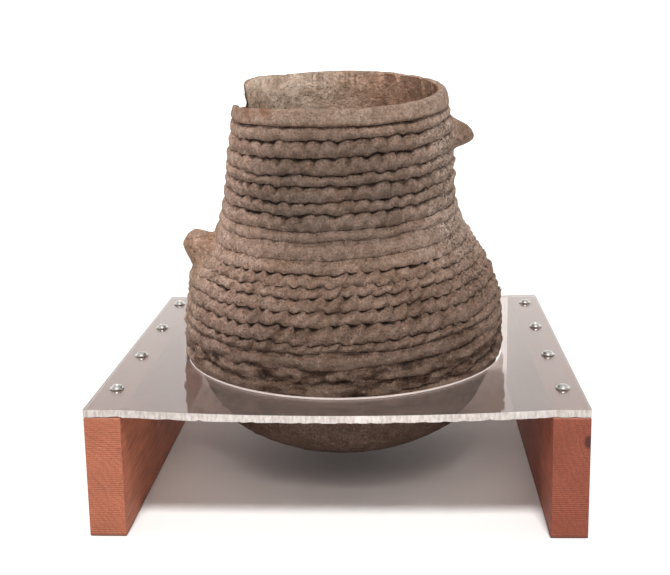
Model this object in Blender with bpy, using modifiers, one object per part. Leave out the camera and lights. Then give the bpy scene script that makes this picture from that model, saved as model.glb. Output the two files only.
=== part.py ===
"""Corrugated pottery jar, held upright in the round hole of a clear sheet on two wooden boards.

Blender 4.5. Lengths in metres, +Z up. The origin is on the table, under the middle of the stand.
The front of the stand is -Y, and +X is to its right.
"""

import math

import bmesh
import bpy
import numpy as np

# Stand: two boards on edge, a clear sheet across them
SHEET_WIDTH = 0.254
SHEET_DEPTH = 0.254
SHEET_THICKNESS = 0.004
SHEET_SAG = 0.0032
BOARD_THICKNESS = 0.019
BOARD_HEIGHT = 0.0635
BOARD_ROUNDING = 0.0008
TOUCH_GAP = 0.0003

# Screws: four in each board, counted from the front
SCREWS_PER_BOARD = 4
SCREW_FRONT_MARGIN = 0.0355
SCREW_BACK_MARGIN = 0.0235
SCREW_INSET = 0.0097
SCREW_HEAD_RADIUS = 0.0038
SCREW_HEAD_HEIGHT = 0.0021
SCREW_SHANK_RADIUS = 0.00175
SCREW_LENGTH = 0.025
SHEET_HOLE_CLEARANCE = 0.0005

# Jar: heights run up its own axis from the middle of its base
JAR_HEIGHT = 0.2145
BASE_RADIUS = 0.021
BELLY_HEIGHT = 0.0822
BELLY_RADIUS = 0.092
NECK_HEIGHT = 0.154
NECK_RADIUS = 0.0654
THROAT_HEIGHT = 0.176
THROAT_RADIUS = 0.0633
RIM_RADIUS = 0.0588
WALL = 0.0055
AXIS_WANDER = 0.0012

# How the jar sits: its base over the table, leaning towards the front
JAR_X = -0.001
JAR_Y = 0.0063
BASE_LIFT = 0.0081
JAR_LEAN = math.radians(7.8)
SEAT_GAP = 0.0004

# Coils: widths on the front from the rim band's seam down, in order, which share out the wall between
# that seam and the lowest one
COILS_START = 0.0616
COIL_WIDTHS = (
    0.0065, 0.0090, 0.0090, 0.0055, 0.0085, 0.0065, 0.0090, 0.0050, 0.0095, 0.0065,
    0.0060, 0.0050, 0.0060, 0.0070, 0.0090, 0.0045, 0.0090, 0.0070, 0.0085, 0.0070,
)
RIM_BAND = 0.0089
COIL_RELIEF = 0.0011
INDENT_RELIEF = 0.0009
COIL_CREST = 0.32
INDENTED_COILS = ((1, 7), (11, 16))
COLUMNS = 69
BASE_ROWS = 5
CAVITY_COLUMNS = 30
CAVITY_ROWS = 14
LUG_SIDES = 10
COIL_RISE_RIGHT = 0.017
COIL_FALL_BACK = 0.048
RIM_RISE_RIGHT = 0.0
RIM_FALL_BACK = 0.010
RIM_DIP = 0.006
RIM_DIP_ANGLE = math.radians(190)
RIM_PEAK = 0.0030
RIM_PEAK_ANGLE = math.radians(152)

# Broken lugs: angle round the jar from +X, height up its axis, size, and how much they point up
LEFT_LUG_ANGLE = math.radians(190)
LEFT_LUG_HEIGHT = 0.1277
LEFT_LUG_REACH = 0.015
LEFT_LUG_RADIUS = 0.009
LEFT_LUG_LIFT = 0.6
RIGHT_LUG_ANGLE = math.radians(2)
RIGHT_LUG_HEIGHT = 0.1885
RIGHT_LUG_REACH = 0.0125
RIGHT_LUG_RADIUS = 0.0085
RIGHT_LUG_LIFT = -0.08

# Break in the rim, at the left: where its edges are behind and before the jar's axis, and its depth
BREAK_BACK = 0.0205
BREAK_FRONT = 0.0105
BREAK_DEPTH = 0.0165

BACK = 0.5 * math.pi


def clear_scene():
    for thing in list(bpy.data.objects):
        bpy.data.objects.remove(thing)


def collection(name, hidden=False):
    made = bpy.data.collections.new(name)
    bpy.context.scene.collection.children.link(made)
    made.hide_render = hidden
    return made


def material(name, colour, roughness, metallic=0.0, alpha=1.0):
    made = bpy.data.materials.new(name)
    made.use_nodes = True
    shader = made.node_tree.nodes["Principled BSDF"]
    shader.inputs["Base Color"].default_value = (*colour, 1.0)
    shader.inputs["Roughness"].default_value = roughness
    shader.inputs["Metallic"].default_value = metallic
    shader.inputs["Alpha"].default_value = alpha
    return made


def place_mesh(bm, name, group, finish=None, parent=None):
    """Turns a bmesh into an object of the group. Without a finish it is a cutter."""
    bmesh.ops.remove_doubles(bm, verts=bm.verts, dist=1e-6)
    bmesh.ops.recalc_face_normals(bm, faces=bm.faces)
    mesh = bpy.data.meshes.new(name)
    bm.to_mesh(mesh)
    bm.free()
    made = bpy.data.objects.new(name, mesh)
    group.objects.link(made)
    made.parent = parent
    if finish:
        mesh.materials.append(finish)
        mesh.shade_smooth()
        mesh.set_sharp_from_angle(angle=math.radians(40))
    else:
        made.hide_render = True
        made.display_type = "WIRE"
    return made


def boolean(piece, operation, other):
    step = piece.modifiers.new(f"{operation.lower()} {other.name}", "BOOLEAN")
    step.operation = operation
    step.object = other
    step.solver = "EXACT"


def warped_grid(bm, columns, rows, place):
    """Adds a grid whose corner (column, row) goes to place(column, row)."""
    made = bmesh.ops.create_grid(bm, x_segments=columns, y_segments=rows, size=1.0)
    for vertex in made["verts"]:
        column = round((vertex.co.x + 1.0) / 2.0 * columns)
        row = round((vertex.co.y + 1.0) / 2.0 * rows)
        vertex.co = place(column, row)


def close_ring(bm, columns, place):
    """Adds one flat cap over the ring of points place(column)."""
    bm.faces.new([bm.verts.new(place(column)) for column in range(columns)])


def through(points):
    """A smooth curve through the points, as a function: cubic pieces that share their slopes."""
    places, values = np.array(points).T
    slopes = np.gradient(values, places)

    def value(place):
        place = min(max(place, places[0]), places[-1])
        i = min(int(np.searchsorted(places, place, side="right")) - 1, len(places) - 2)
        span = places[i + 1] - places[i]
        t = (place - places[i]) / span
        start = (1 + 2 * t) * (1 - t) ** 2 * values[i] + t * (1 - t) ** 2 * span * slopes[i]
        end = t * t * (3 - 2 * t) * values[i + 1] + t * t * (t - 1) * span * slopes[i + 1]
        return float(start + end)

    return value


def jar_outline():
    """Outer radius by height. The points between the named ones are shares of them."""
    shoulder = NECK_HEIGHT - BELLY_HEIGHT
    swell = BELLY_RADIUS - NECK_RADIUS
    return through((
        (0.0, BASE_RADIUS),
        (0.20 * BELLY_HEIGHT, 0.592 * BELLY_RADIUS),
        (0.34 * BELLY_HEIGHT, 0.788 * BELLY_RADIUS),
        (0.60 * BELLY_HEIGHT, 0.938 * BELLY_RADIUS),
        (BELLY_HEIGHT, BELLY_RADIUS),
        (BELLY_HEIGHT + 0.35 * shoulder, NECK_RADIUS + 0.79 * swell),
        (BELLY_HEIGHT + 0.69 * shoulder, NECK_RADIUS + 0.27 * swell),
        (NECK_HEIGHT, NECK_RADIUS),
        (THROAT_HEIGHT, THROAT_RADIUS),
        ((THROAT_HEIGHT + JAR_HEIGHT) / 2, RIM_RADIUS + 0.60 * (THROAT_RADIUS - RIM_RADIUS)),
        (JAR_HEIGHT, RIM_RADIUS),
    ))


def jar_wander():
    """How far the axis strays to the right by height, because the wall was built by eye."""
    shares = ((0.0, 0.0), (0.1, 1.0), (0.35, 0.6), (0.55, -0.1), (0.78, 0.0), (0.90, 1.2), (1.0, 0.5))
    return through([(height * JAR_HEIGHT, stray * AXIS_WANDER) for height, stray in shares])


outline = jar_outline()
wander = jar_wander()
RIM_SEAM = JAR_HEIGHT - RIM_BAND
TURNS = len(COIL_WIDTHS) + 1


def seam_line():
    """Height of the seam by turns, counted up from the back: level, then a spiral, then level again.

    The front of each turn is half a turn on, and the heights are those on the front.
    """
    fronts = RIM_SEAM - np.cumsum(COIL_WIDTHS) / sum(COIL_WIDTHS) * (RIM_SEAM - COILS_START)
    lowest = COILS_START - COIL_WIDTHS[-1] / 2
    knots = [(0.0, lowest), (1.0, lowest)]
    knots += [(len(fronts) - i + 0.5, height) for i, height in reversed(list(enumerate(fronts)))]
    knots += [(TURNS - 0.2, fronts[0] + 0.3 * COIL_WIDTHS[0]), (TURNS, RIM_SEAM), (TURNS + 1.0, RIM_SEAM)]
    places, heights = np.array(knots).T
    return lambda turn: float(np.interp(turn, places, heights))


seam = seam_line()


def bump(angle, centre, width):
    """A smooth hump round the jar: one at its centre angle, fading to each side."""
    away = (angle - centre + math.pi) % (2.0 * math.pi) - math.pi
    return math.exp(-((away / width) ** 2))


def jar_point(angle, height, out=0.0, up=0.0):
    """A point of the jar, out from its skin and up from the level that has this height at the front.

    The levels rise to the right and fall to the back, because the coils weren't laid level, and the
    rim dips at the left front and peaks behind its break.
    """
    laid = min(height / BELLY_HEIGHT, 1.0)
    rim = max((height - THROAT_HEIGHT) / (JAR_HEIGHT - THROAT_HEIGHT), 0.0)
    rise = laid * (COIL_RISE_RIGHT + rim * (RIM_RISE_RIGHT - COIL_RISE_RIGHT))
    fall = laid * (COIL_FALL_BACK + rim * (RIM_FALL_BACK - COIL_FALL_BACK))
    level = height + outline(height) * (rise * math.cos(angle) - fall * (1.0 + math.sin(angle)))
    level -= rim * RIM_DIP * bump(angle, RIM_DIP_ANGLE, 0.65)
    level += rim * RIM_PEAK * bump(angle, RIM_PEAK_ANGLE, 0.35)
    radius = outline(level) + out
    return (radius * math.cos(angle) + wander(level), radius * math.sin(angle), level + up)


def is_indented(turn):
    """The coils pressed by fingertip, counted down from the rim, lie in two bands."""
    coil = TURNS - turn
    return any(first - 1 <= coil <= last for first, last in INDENTED_COILS)


def column_angle(column):
    return BACK + 2.0 * math.pi * column / COLUMNS


def coil_point(column, row):
    """Corner of the long clay ribbon that is wound up the wall: its seam, its crest, the next seam."""
    turn = column / COLUMNS
    low = seam(turn)
    width = seam(turn + 1.0) - low
    out = -COIL_RELIEF
    if row == 1:
        bulge = COIL_RELIEF
        if is_indented(turn):
            bulge += INDENT_RELIEF if column % 2 else -INDENT_RELIEF
        full = min(width / min(COIL_WIDTHS), 1.0)
        out += full * (bulge + COIL_RELIEF)
    return jar_point(column_angle(column), low + width * (0.0, COIL_CREST, 1.0)[row], out)


def base_point(column, row):
    share = (row / BASE_ROWS) ** 1.5
    return jar_point(column_angle(column), seam(0.0) * share, -COIL_RELIEF * share**4)


def rim_point(column, row):
    height, out = (
        (RIM_SEAM, -COIL_RELIEF),
        (RIM_SEAM + 0.2 * RIM_BAND, COIL_RELIEF / 2),
        (JAR_HEIGHT - 0.4 * WALL, 0.0),
        (JAR_HEIGHT - 0.12 * WALL, -0.16 * WALL),
        (JAR_HEIGHT, -0.42 * WALL),
    )[row]
    return jar_point(column_angle(column), height, out)


def jar_body(group, finish, seat):
    """The jar's outer form, solid: round base, wound coils, plain rim band."""
    bm = bmesh.new()
    warped_grid(bm, COLUMNS, BASE_ROWS, base_point)
    warped_grid(bm, COLUMNS * TURNS, 2, coil_point)
    warped_grid(bm, COLUMNS, 4, rim_point)
    close_ring(bm, COLUMNS, lambda column: base_point(column, 0))
    close_ring(bm, COLUMNS, lambda column: rim_point(column, 4))
    return place_mesh(bm, "jar", group, finish, seat)


def cavity_point(column, row):
    """Inner skin, one wall in from the outline, then a flare through the rounded lip."""
    angle = 2.0 * math.pi * column / CAVITY_COLUMNS
    if row == CAVITY_ROWS:
        return jar_point(angle, JAR_HEIGHT, -0.66 * WALL, WALL)
    if row == CAVITY_ROWS - 1:
        return jar_point(angle, JAR_HEIGHT - 0.12 * WALL, -0.84 * WALL)
    height = (JAR_HEIGHT - 0.5 * WALL) * (row / (CAVITY_ROWS - 2)) ** 1.3
    step = JAR_HEIGHT / 1000.0
    slope = (outline(height + step) - outline(height)) / step
    inward = 1.0 / math.hypot(1.0, slope)
    return jar_point(angle, height, -WALL * inward, WALL * slope * inward)


def jar_cavity(group, seat):
    bm = bmesh.new()
    warped_grid(bm, CAVITY_COLUMNS, CAVITY_ROWS, cavity_point)
    for end in (0, CAVITY_ROWS):
        close_ring(bm, CAVITY_COLUMNS, lambda column, end=end: cavity_point(column, end))
    return place_mesh(bm, "jar_cavity", group, parent=seat)


def lug(name, angle, height, reach, radius, lift, widths, group, seat):
    """A broken handle stub: a short round stump out of the wall, with its widths from root to tip."""
    root = np.array(jar_point(angle, height, -0.6 * WALL))
    length = reach + 0.6 * WALL
    aim = np.array((math.cos(angle), math.sin(angle), lift))
    aim /= np.linalg.norm(aim)
    across = np.array((-math.sin(angle), math.cos(angle), 0.0))
    upward = np.cross(aim, across)

    def place(column, row):
        turn = 2.0 * math.pi * column / LUG_SIDES
        share, width = widths[row]
        ring = across * math.cos(turn) + upward * math.sin(turn)
        return tuple(root + aim * share * length + ring * width * radius)

    bm = bmesh.new()
    warped_grid(bm, LUG_SIDES, len(widths) - 1, place)
    for end in (0, len(widths) - 1):
        close_ring(bm, LUG_SIDES, lambda column, end=end: place(column, end))
    return place_mesh(bm, name, group, parent=seat)


def rim_break(group, seat):
    """The lost piece of rim at the left: a prism through the wall, steep at both ends."""
    above = JAR_HEIGHT + RIM_RADIUS / 2
    edge = (
        (BREAK_BACK, above),
        (BREAK_BACK + 0.03 * BREAK_DEPTH, JAR_HEIGHT - 0.5 * BREAK_DEPTH),
        (0.9 * BREAK_BACK, JAR_HEIGHT - BREAK_DEPTH),
        (0.3 * BREAK_BACK, JAR_HEIGHT - 0.92 * BREAK_DEPTH),
        (-0.6 * BREAK_FRONT, JAR_HEIGHT - 0.75 * BREAK_DEPTH),
        (-BREAK_FRONT, JAR_HEIGHT - 0.3 * BREAK_DEPTH),
        (-0.8 * BREAK_FRONT, above),
    )
    bm = bmesh.new()
    side = bm.faces.new([bm.verts.new((-1.5 * RIM_RADIUS, y, z)) for y, z in edge])
    grown = bmesh.ops.extrude_face_region(bm, geom=[side])
    far = [item for item in grown["geom"] if isinstance(item, bmesh.types.BMVert)]
    bmesh.ops.translate(bm, verts=far, vec=(0.8 * RIM_RADIUS, 0.0, 0.0))
    return place_mesh(bm, "rim_break", group, parent=seat)


def in_world(point):
    """Where a point of the leaning jar is."""
    x, y, z = point
    lean = (y * math.cos(JAR_LEAN) - z * math.sin(JAR_LEAN), y * math.sin(JAR_LEAN) + z * math.cos(JAR_LEAN))
    return (JAR_X + x, JAR_Y + lean[0], BASE_LIFT + lean[1])


def sheet_drop(x):
    """How far the sheet hangs below its edges, across the gap between the boards."""
    half_gap = SHEET_WIDTH / 2 - BOARD_THICKNESS
    return SHEET_SAG * max(0.0, 1.0 - (x / half_gap) ** 2)


def seat_circle():
    """Centre and radius of the hole that the jar sits in: round the jar's skin where it meets the sheet."""
    under = BOARD_HEIGHT + TOUCH_GAP
    met = []
    for column in range(COLUMNS):
        angle = column_angle(column)
        for height in np.arange(0.0, NECK_HEIGHT, SHEET_THICKNESS / 8):
            x, y, z = in_world(jar_point(angle, height, COIL_RELIEF))
            if 0.0 <= z + sheet_drop(x) - under <= SHEET_THICKNESS:
                met.append((x, y))
    met = np.array(met)
    centre = (met.min(axis=0) + met.max(axis=0)) / 2
    reach = np.hypot(*(met - centre).T).max()
    return centre, reach + SEAT_GAP


def make_jar(pieces, cutters):
    seat = bpy.data.objects.new("jar_seat", None)
    pieces.objects.link(seat)
    seat.location = (JAR_X, JAR_Y, BASE_LIFT)
    seat.rotation_euler = (JAR_LEAN, 0.0, 0.0)
    clay = material("fired_clay", (0.30, 0.21, 0.16), 0.92)
    jar = jar_body(pieces, clay, seat)
    knob = ((0.0, 1.35), (0.3, 1.12), (0.52, 1.0), (0.8, 0.8), (0.95, 0.45), (1.0, 0.15))
    nub = ((0.0, 1.1), (0.35, 0.95), (0.7, 0.62), (0.92, 0.36), (1.0, 0.15))
    boolean(jar, "UNION", lug("left_lug", LEFT_LUG_ANGLE, LEFT_LUG_HEIGHT, LEFT_LUG_REACH, LEFT_LUG_RADIUS,
                              LEFT_LUG_LIFT, knob, cutters, seat))
    boolean(jar, "UNION", lug("right_lug", RIGHT_LUG_ANGLE, RIGHT_LUG_HEIGHT, RIGHT_LUG_REACH,
                              RIGHT_LUG_RADIUS, RIGHT_LUG_LIFT, nub, cutters, seat))
    boolean(jar, "DIFFERENCE", jar_cavity(cutters, seat))
    boolean(jar, "DIFFERENCE", rim_break(cutters, seat))


def screw_places():
    """X, Y and name of each screw, from the front to the back of each board."""
    first = -SHEET_DEPTH / 2 + SCREW_FRONT_MARGIN
    last = SHEET_DEPTH / 2 - SCREW_BACK_MARGIN
    for side, name in ((-1, "left"), (1, "right")):
        for number, y in enumerate(np.linspace(first, last, SCREWS_PER_BOARD), 1):
            yield side * (SHEET_WIDTH / 2 - SCREW_INSET), float(y), f"screw_{name}_{number}"


def drill_cutter(name, radius, bottom, top, group):
    """Eight upright cylinders, one at each screw."""
    bm = bmesh.new()
    for x, y, _ in screw_places():
        made = bmesh.ops.create_cone(bm, cap_ends=True, segments=8, radius1=radius, radius2=radius,
                                     depth=top - bottom)
        bmesh.ops.translate(bm, verts=made["verts"], vec=(x, y, (top + bottom) / 2))
    return place_mesh(bm, name, group)


def make_sheet(pieces, cutters):
    """The sagging sheet: its section across the boards, pushed through its depth, with its holes cut."""
    half_gap = SHEET_WIDTH / 2 - BOARD_THICKNESS
    under = BOARD_HEIGHT + TOUCH_GAP
    across = [-SHEET_WIDTH / 2, *np.linspace(-half_gap, half_gap, 13), SHEET_WIDTH / 2]
    lower = [(x, under - sheet_drop(x)) for x in across]
    upper = [(x, z + SHEET_THICKNESS) for x, z in reversed(lower)]
    bm = bmesh.new()
    front = bm.faces.new([bm.verts.new((x, -SHEET_DEPTH / 2, z)) for x, z in lower + upper])
    grown = bmesh.ops.extrude_face_region(bm, geom=[front])
    back = [item for item in grown["geom"] if isinstance(item, bmesh.types.BMVert)]
    bmesh.ops.translate(bm, verts=back, vec=(0.0, SHEET_DEPTH, 0.0))
    clear = material("clear_acrylic", (0.85, 0.86, 0.87), 0.05, alpha=0.35)
    sheet = place_mesh(bm, "acrylic_sheet", pieces, clear)

    (x, y), radius = seat_circle()
    bm = bmesh.new()
    outside = radius / math.cos(math.pi / COLUMNS)
    made = bmesh.ops.create_cone(bm, cap_ends=True, segments=COLUMNS, radius1=outside, radius2=outside,
                                 depth=BOARD_HEIGHT)
    bmesh.ops.translate(bm, verts=made["verts"], vec=(x, y, BOARD_HEIGHT))
    boolean(sheet, "DIFFERENCE", place_mesh(bm, "jar_hole", cutters))
    drill = drill_cutter("sheet_drill", SCREW_SHANK_RADIUS + SHEET_HOLE_CLEARANCE,
                         BOARD_HEIGHT, BOARD_HEIGHT + 3 * SHEET_THICKNESS, cutters)
    boolean(sheet, "DIFFERENCE", drill)


def make_boards(pieces, cutters):
    wood = material("stained_wood", (0.36, 0.12, 0.07), 0.6)
    tip = BOARD_HEIGHT + SHEET_THICKNESS + 2 * TOUCH_GAP - SCREW_LENGTH
    pilots = drill_cutter("board_drill", SCREW_SHANK_RADIUS + TOUCH_GAP, tip - TOUCH_GAP,
                          2 * BOARD_HEIGHT, cutters)
    for side, name in ((-1, "left"), (1, "right")):
        bm = bmesh.new()
        bmesh.ops.create_cube(bm, size=1.0)
        bmesh.ops.scale(bm, verts=bm.verts, vec=(BOARD_THICKNESS, SHEET_DEPTH, BOARD_HEIGHT))
        board = place_mesh(bm, f"board_{name}", pieces, wood)
        board.location = (side * (SHEET_WIDTH - BOARD_THICKNESS) / 2, 0.0, BOARD_HEIGHT / 2)
        rounding = board.modifiers.new("rounded edges", "BEVEL")
        rounding.width = BOARD_ROUNDING
        rounding.segments = 1
        boolean(board, "DIFFERENCE", pilots)


def make_screws(pieces):
    """Low-headed screws, each a turned profile with its head just clear of the sheet."""
    steel = material("bright_steel", (0.70, 0.70, 0.70), 0.25, metallic=1.0)
    profile = (
        (0.0, SCREW_HEAD_HEIGHT),
        (0.55 * SCREW_HEAD_RADIUS, 0.92 * SCREW_HEAD_HEIGHT),
        (SCREW_HEAD_RADIUS, 0.35 * SCREW_HEAD_HEIGHT),
        (SCREW_HEAD_RADIUS, 0.0),
        (SCREW_SHANK_RADIUS, 0.0),
        (SCREW_SHANK_RADIUS, 2.0 * SCREW_SHANK_RADIUS - SCREW_LENGTH),
        (0.0, -SCREW_LENGTH),
    )
    mesh = bpy.data.meshes.new("screw")
    edges = [(i, i + 1) for i in range(len(profile) - 1)]
    mesh.from_pydata([(x, 0.0, z) for x, z in profile], edges, [])
    mesh.materials.append(steel)
    for x, y, name in screw_places():
        screw = bpy.data.objects.new(name, mesh)
        pieces.objects.link(screw)
        screw.location = (x, y, BOARD_HEIGHT + SHEET_THICKNESS + 2 * TOUCH_GAP)
        turned = screw.modifiers.new("turned", "SCREW")
        turned.steps = 8
        turned.render_steps = 8
        turned.use_merge_vertices = True
        turned.merge_threshold = 0.00001
        turned.use_smooth_shade = True


def main():
    clear_scene()
    pieces = collection("corrugated_jar_on_stand")
    cutters = collection("cutters", hidden=True)
    make_jar(pieces, cutters)
    make_sheet(pieces, cutters)
    make_boards(pieces, cutters)
    make_screws(pieces)


main()
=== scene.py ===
"""Looks of the corrugated pottery jar on its stand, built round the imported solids."""

import math

import bmesh
import bpy
import numpy as np
from mathutils import Matrix, Vector, noise


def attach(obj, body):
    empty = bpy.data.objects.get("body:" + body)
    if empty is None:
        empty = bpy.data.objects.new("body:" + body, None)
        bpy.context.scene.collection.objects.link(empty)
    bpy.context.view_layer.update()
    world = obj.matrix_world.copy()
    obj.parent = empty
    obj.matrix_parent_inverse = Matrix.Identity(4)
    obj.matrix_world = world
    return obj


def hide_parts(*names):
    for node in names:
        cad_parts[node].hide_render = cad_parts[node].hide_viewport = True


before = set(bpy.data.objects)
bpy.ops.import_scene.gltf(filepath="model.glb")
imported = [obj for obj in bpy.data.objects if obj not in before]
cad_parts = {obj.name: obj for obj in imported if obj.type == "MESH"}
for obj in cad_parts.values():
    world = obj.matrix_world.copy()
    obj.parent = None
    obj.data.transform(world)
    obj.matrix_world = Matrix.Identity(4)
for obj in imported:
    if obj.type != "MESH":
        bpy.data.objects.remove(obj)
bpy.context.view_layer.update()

# Stand
SHEET_WIDTH = 0.254
SHEET_DEPTH = 0.254
SHEET_THICKNESS = 0.004
SHEET_SAG = 0.0032
BOARD_THICKNESS = 0.019
BOARD_HEIGHT = 0.0635
TOUCH_GAP = 0.0003
SCREW_HEAD_RADIUS = 0.0038
SCREW_HEAD_HEIGHT = 0.0021
SCREW_SHANK_RADIUS = 0.00175
SCREW_LENGTH = 0.025
SCREW_INSET = 0.0097
FIRST_SCREW_INSET = 0.0355
LAST_SCREW_INSET = 0.0235
SCREWS_A_SIDE = 4
HOLE_CENTRE = (0.00004, -0.00505)
HOLE_RADIUS = 0.09143

# Jar
JAR_HEIGHT = 0.2145
BASE_RADIUS = 0.021
BELLY_HEIGHT = 0.0822
BELLY_RADIUS = 0.092
NECK_HEIGHT = 0.154
NECK_RADIUS = 0.0654
THROAT_HEIGHT = 0.176
THROAT_RADIUS = 0.0633
RIM_RADIUS = 0.0588
WALL = 0.0055
AXIS_WANDER = 0.0012
JAR_PLACE = Vector((-0.001, 0.0063, 0.0081))
JAR_LEAN = math.radians(7.8)
COILS_START = 0.0616
COIL_WIDTHS = (
    0.0065, 0.0090, 0.0090, 0.0055, 0.0085, 0.0065, 0.0090, 0.0050, 0.0095, 0.0065,
    0.0060, 0.0050, 0.0060, 0.0070, 0.0090, 0.0045, 0.0090, 0.0070, 0.0085, 0.0070,
)
RIM_BAND = 0.0089
COIL_RISE_RIGHT = 0.017
COIL_FALL_BACK = 0.048
RIM_RISE_RIGHT = 0.0
RIM_FALL_BACK = 0.010
RIM_DIP = 0.006
RIM_DIP_ANGLE = math.radians(190)
RIM_PEAK = 0.0030
RIM_PEAK_ANGLE = math.radians(152)
BACK = 0.5 * math.pi
LOBE_PITCH = 0.0097
BASE_SKIN = -0.0011
LIP_THINNING = 0.0012
WORN_SIDE = 337.0

# Fineness of the jar's mesh
COLUMNS = 528
COIL_STEPS = (0.05, 0.15, 0.31, 0.48, 0.66, 0.84)
TURNS = len(COIL_WIDTHS) + 1
RIM_SEAM = JAR_HEIGHT - RIM_BAND


def through(points):
    """A smooth curve through these points."""
    places, values = np.array(points).T
    slopes = np.gradient(values, places)

    def value(place):
        place = np.clip(np.asarray(place, float), places[0], places[-1])
        i = np.clip(np.searchsorted(places, place, side="right") - 1, 0, len(places) - 2)
        span = places[i + 1] - places[i]
        t = (place - places[i]) / span
        start = (1 + 2 * t) * (1 - t) ** 2 * values[i] + t * (1 - t) ** 2 * span * slopes[i]
        return start + t * t * (3 - 2 * t) * values[i + 1] + t * t * (t - 1) * span * slopes[i + 1]

    return value


SHOULDER = NECK_HEIGHT - BELLY_HEIGHT
SWELL = BELLY_RADIUS - NECK_RADIUS
outline = through((
    (0.0, BASE_RADIUS),
    (0.20 * BELLY_HEIGHT, 0.592 * BELLY_RADIUS),
    (0.34 * BELLY_HEIGHT, 0.788 * BELLY_RADIUS),
    (0.60 * BELLY_HEIGHT, 0.938 * BELLY_RADIUS),
    (BELLY_HEIGHT, BELLY_RADIUS),
    (BELLY_HEIGHT + 0.35 * SHOULDER, NECK_RADIUS + 0.79 * SWELL),
    (BELLY_HEIGHT + 0.69 * SHOULDER, NECK_RADIUS + 0.27 * SWELL),
    (NECK_HEIGHT, NECK_RADIUS),
    (THROAT_HEIGHT, THROAT_RADIUS),
    ((THROAT_HEIGHT + JAR_HEIGHT) / 2, RIM_RADIUS + 0.60 * (THROAT_RADIUS - RIM_RADIUS)),
    (JAR_HEIGHT, RIM_RADIUS),
))
WANDER_SHARES = ((0.0, 0.0), (0.1, 1.0), (0.35, 0.6), (0.55, -0.1), (0.78, 0.0), (0.90, 1.2), (1.0, 0.5))
wander = through([(height * JAR_HEIGHT, stray * AXIS_WANDER) for height, stray in WANDER_SHARES])


def seam(turn):
    """The height at the front of the ribbon's lower seam."""
    fronts = RIM_SEAM - np.cumsum(COIL_WIDTHS) / sum(COIL_WIDTHS) * (RIM_SEAM - COILS_START)
    lowest = COILS_START - COIL_WIDTHS[-1] / 2
    knots = [(0.0, lowest), (1.0, lowest)]
    knots += [(len(fronts) - i + 0.5, height) for i, height in reversed(list(enumerate(fronts)))]
    knots += [(TURNS - 0.2, fronts[0] + 0.3 * COIL_WIDTHS[0]), (TURNS, RIM_SEAM), (TURNS + 1.0, RIM_SEAM)]
    places, heights = np.array(knots).T
    return np.interp(turn, places, heights)


def bump(angle, centre, width):
    """1 at this angle round the jar, fading to 0 on both sides."""
    away = (angle - centre + math.pi) % (2.0 * math.pi) - math.pi
    return np.exp(-((away / width) ** 2))


def levels(angle, height):
    """The real level of the line that has this height at the front."""
    laid = np.minimum(height / BELLY_HEIGHT, 1.0)
    rim = np.maximum((height - THROAT_HEIGHT) / (JAR_HEIGHT - THROAT_HEIGHT), 0.0)
    rise = laid * (COIL_RISE_RIGHT + rim * (RIM_RISE_RIGHT - COIL_RISE_RIGHT))
    fall = laid * (COIL_FALL_BACK + rim * (RIM_FALL_BACK - COIL_FALL_BACK))
    level = height + outline(height) * (rise * np.cos(angle) - fall * (1.0 + np.sin(angle)))
    level = level - rim * RIM_DIP * bump(angle, RIM_DIP_ANGLE, 0.65)
    return level + rim * RIM_PEAK * bump(angle, RIM_PEAK_ANGLE, 0.35)


def on_jar(angle, level, out, up):
    """Points at a level of the jar, out from its skin, in its own upright frame."""
    radius = outline(level) + out
    return np.stack([radius * np.cos(angle) + wander(level), radius * np.sin(angle), level + up], axis=-1)


def smooth(x, low, high):
    t = np.clip((x - low) / (high - low), 0.0, 1.0)
    return t * t * (3.0 - 2.0 * t)


def rough(points, size, octaves=3, seed=0.0):
    """Smooth random values, one per point, with features of this size."""
    shift = Vector((seed, seed * 1.7, -seed))
    return np.array([noise.fractal(Vector(p) / size + shift, 1.0, 2.0, octaves) for p in points])


def breathing(turn, seed, spacing, low, high):
    """A slow random factor along the ribbon."""
    rng = np.random.default_rng(seed)
    places = np.arange(-1.0, TURNS + 3.0, spacing)
    return np.interp(turn, places, rng.uniform(low, high, len(places)))


def angle_of(turn):
    return BACK + 2.0 * math.pi * turn


def degrees_of(turn):
    return np.degrees(angle_of(turn)) % 360.0


def wear(degrees, level):
    """How much of the relief is left: less towards the left side and round the right."""
    left = smooth(degrees, 199.0, 226.0) + smooth(-degrees, -165.0, -140.0)
    right = 1.0 - 0.55 * np.exp(-(((degrees - WORN_SIDE) / 17.0) ** 2))
    return (0.42 + 0.58 * np.clip(left, 0.0, 1.0)) * right * (0.9 + 0.1 * smooth(level, 0.10, 0.15))


def lobe_phase(turn):
    """Counts the fingertip marks along the ribbon."""
    fine = np.linspace(0.0, TURNS + 2.0, 20000)
    radius = outline(levels(angle_of(fine), seam(np.minimum(fine, TURNS))))
    rate = radius * 2.0 * math.pi / LOBE_PITCH * breathing(fine, 5, 0.011, 0.78, 1.28)
    counted = np.concatenate([[0.0], np.cumsum((rate[1:] + rate[:-1]) / 2.0 * np.diff(fine))])
    return np.interp(turn, fine, counted)


PRESSED_COILS = (
    # first and last coil from the top, and how deeply they are pressed
    (0.2, 1.1, 0.35), (1.15, 6.9, 1.0), (6.9, 10.0, 0.2), (10.1, 15.95, 1.0), (16.0, 18.5, 0.12),
)


def indented(turn):
    """1 on the pressed coils and 0 on the plain ones."""
    coil = TURNS - turn
    share = np.zeros_like(coil)
    for first, last, full in PRESSED_COILS:
        begun = full * smooth(coil, first - 0.3, first)
        share = np.maximum(share, begun * (1.0 - smooth(coil, last, last + 0.3)))
    return share


def belly_coils(turn):
    """0 on the neck's coils, which have round marks, and 1 on the belly's, which have raked ones."""
    return smooth(TURNS - turn, 8.0, 10.0)


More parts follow.
